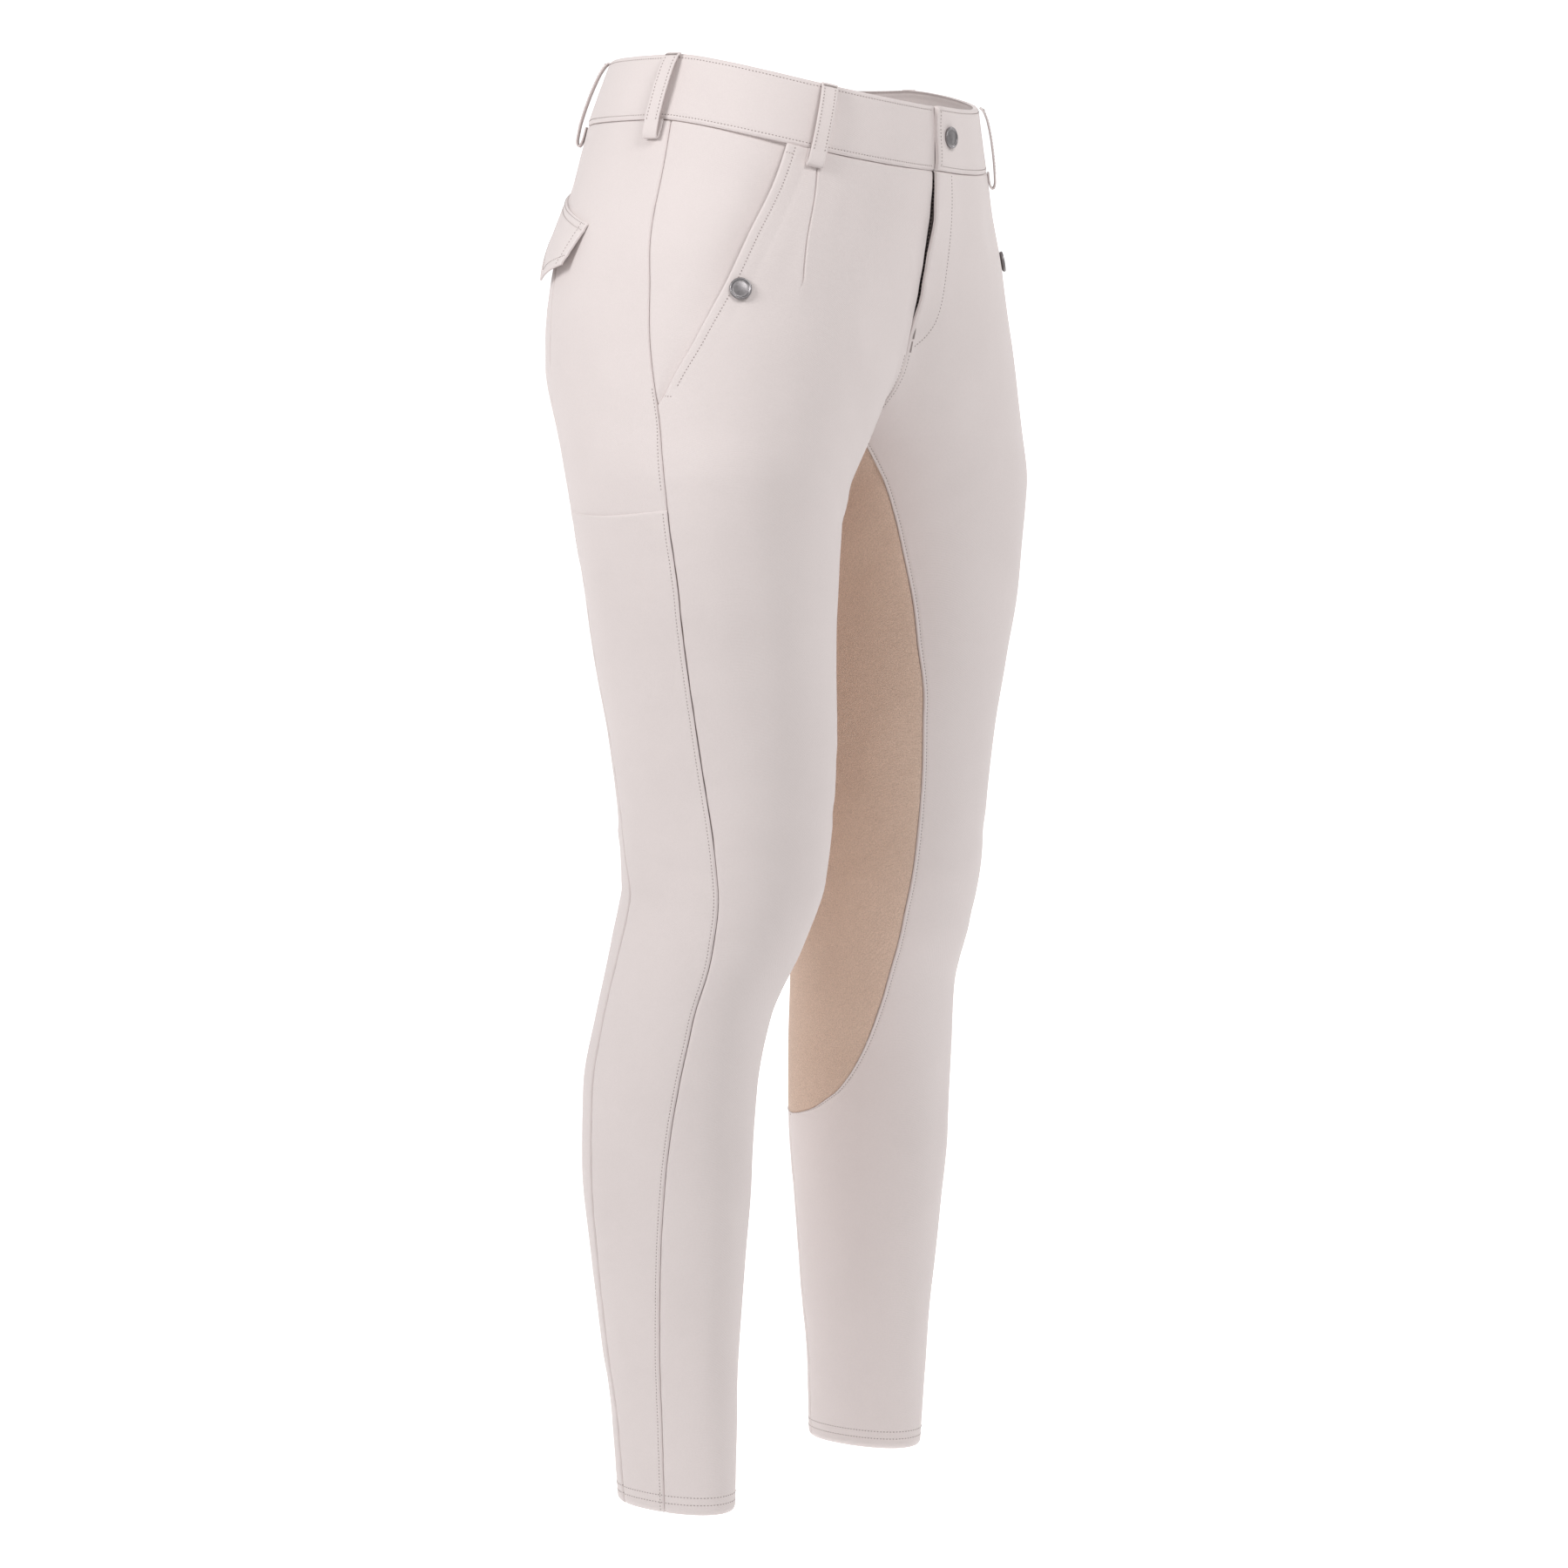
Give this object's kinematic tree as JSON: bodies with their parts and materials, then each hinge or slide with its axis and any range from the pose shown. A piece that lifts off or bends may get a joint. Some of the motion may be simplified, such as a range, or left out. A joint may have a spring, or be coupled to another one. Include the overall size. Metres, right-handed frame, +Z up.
{
  "type": "riding breeches",
  "caption": "Slim full-seat riding breeches in their worn shape, with slanted front pockets, side phone pockets, belt loops and tapered legs.",
  "frame": {"origin": "middle of the waist opening, at the mean height of its edge, where the wearer's waist holds the garment", "axes": "+Z up along the body, +X to the wearer's left, -Y to the wearer's front"},
  "size_m": [0.3874, 0.2372, 0.9399],
  "materials": {
    "cloth": "matte smooth stretch cloth",
    "grip": "suede-like grip cloth",
    "zip": "woven zip tape",
    "snap": "satin pewter"
  },
  "bodies": {
    "root": {"front_left": "cloth", "front_right": "cloth", "pocket_facing_left": "cloth", "pocket_facing_right": "cloth", "side_upper_left": "cloth", "side_upper_right": "cloth", "side_lower_left": "cloth", "side_lower_right": "cloth", "back_left": "cloth", "back_right": "cloth", "back_pocket_flap_left": "cloth", "back_pocket_flap_right": "cloth", "waistband_left": "cloth", "waistband_right": "cloth", "belt_loop_front_left": "cloth", "belt_loop_front_right": "cloth", "belt_loop_side_left": "cloth", "belt_loop_side_right": "cloth", "belt_loop_back_left": "cloth", "belt_loop_back_right": "cloth", "grip_left": "grip", "grip_right": "grip", "fly_shield": "cloth", "fly_zip": "zip", "pocket_snap_left": "snap", "pocket_snap_right": "snap", "waist_snap": "snap"}
  },
  "joints": []
}
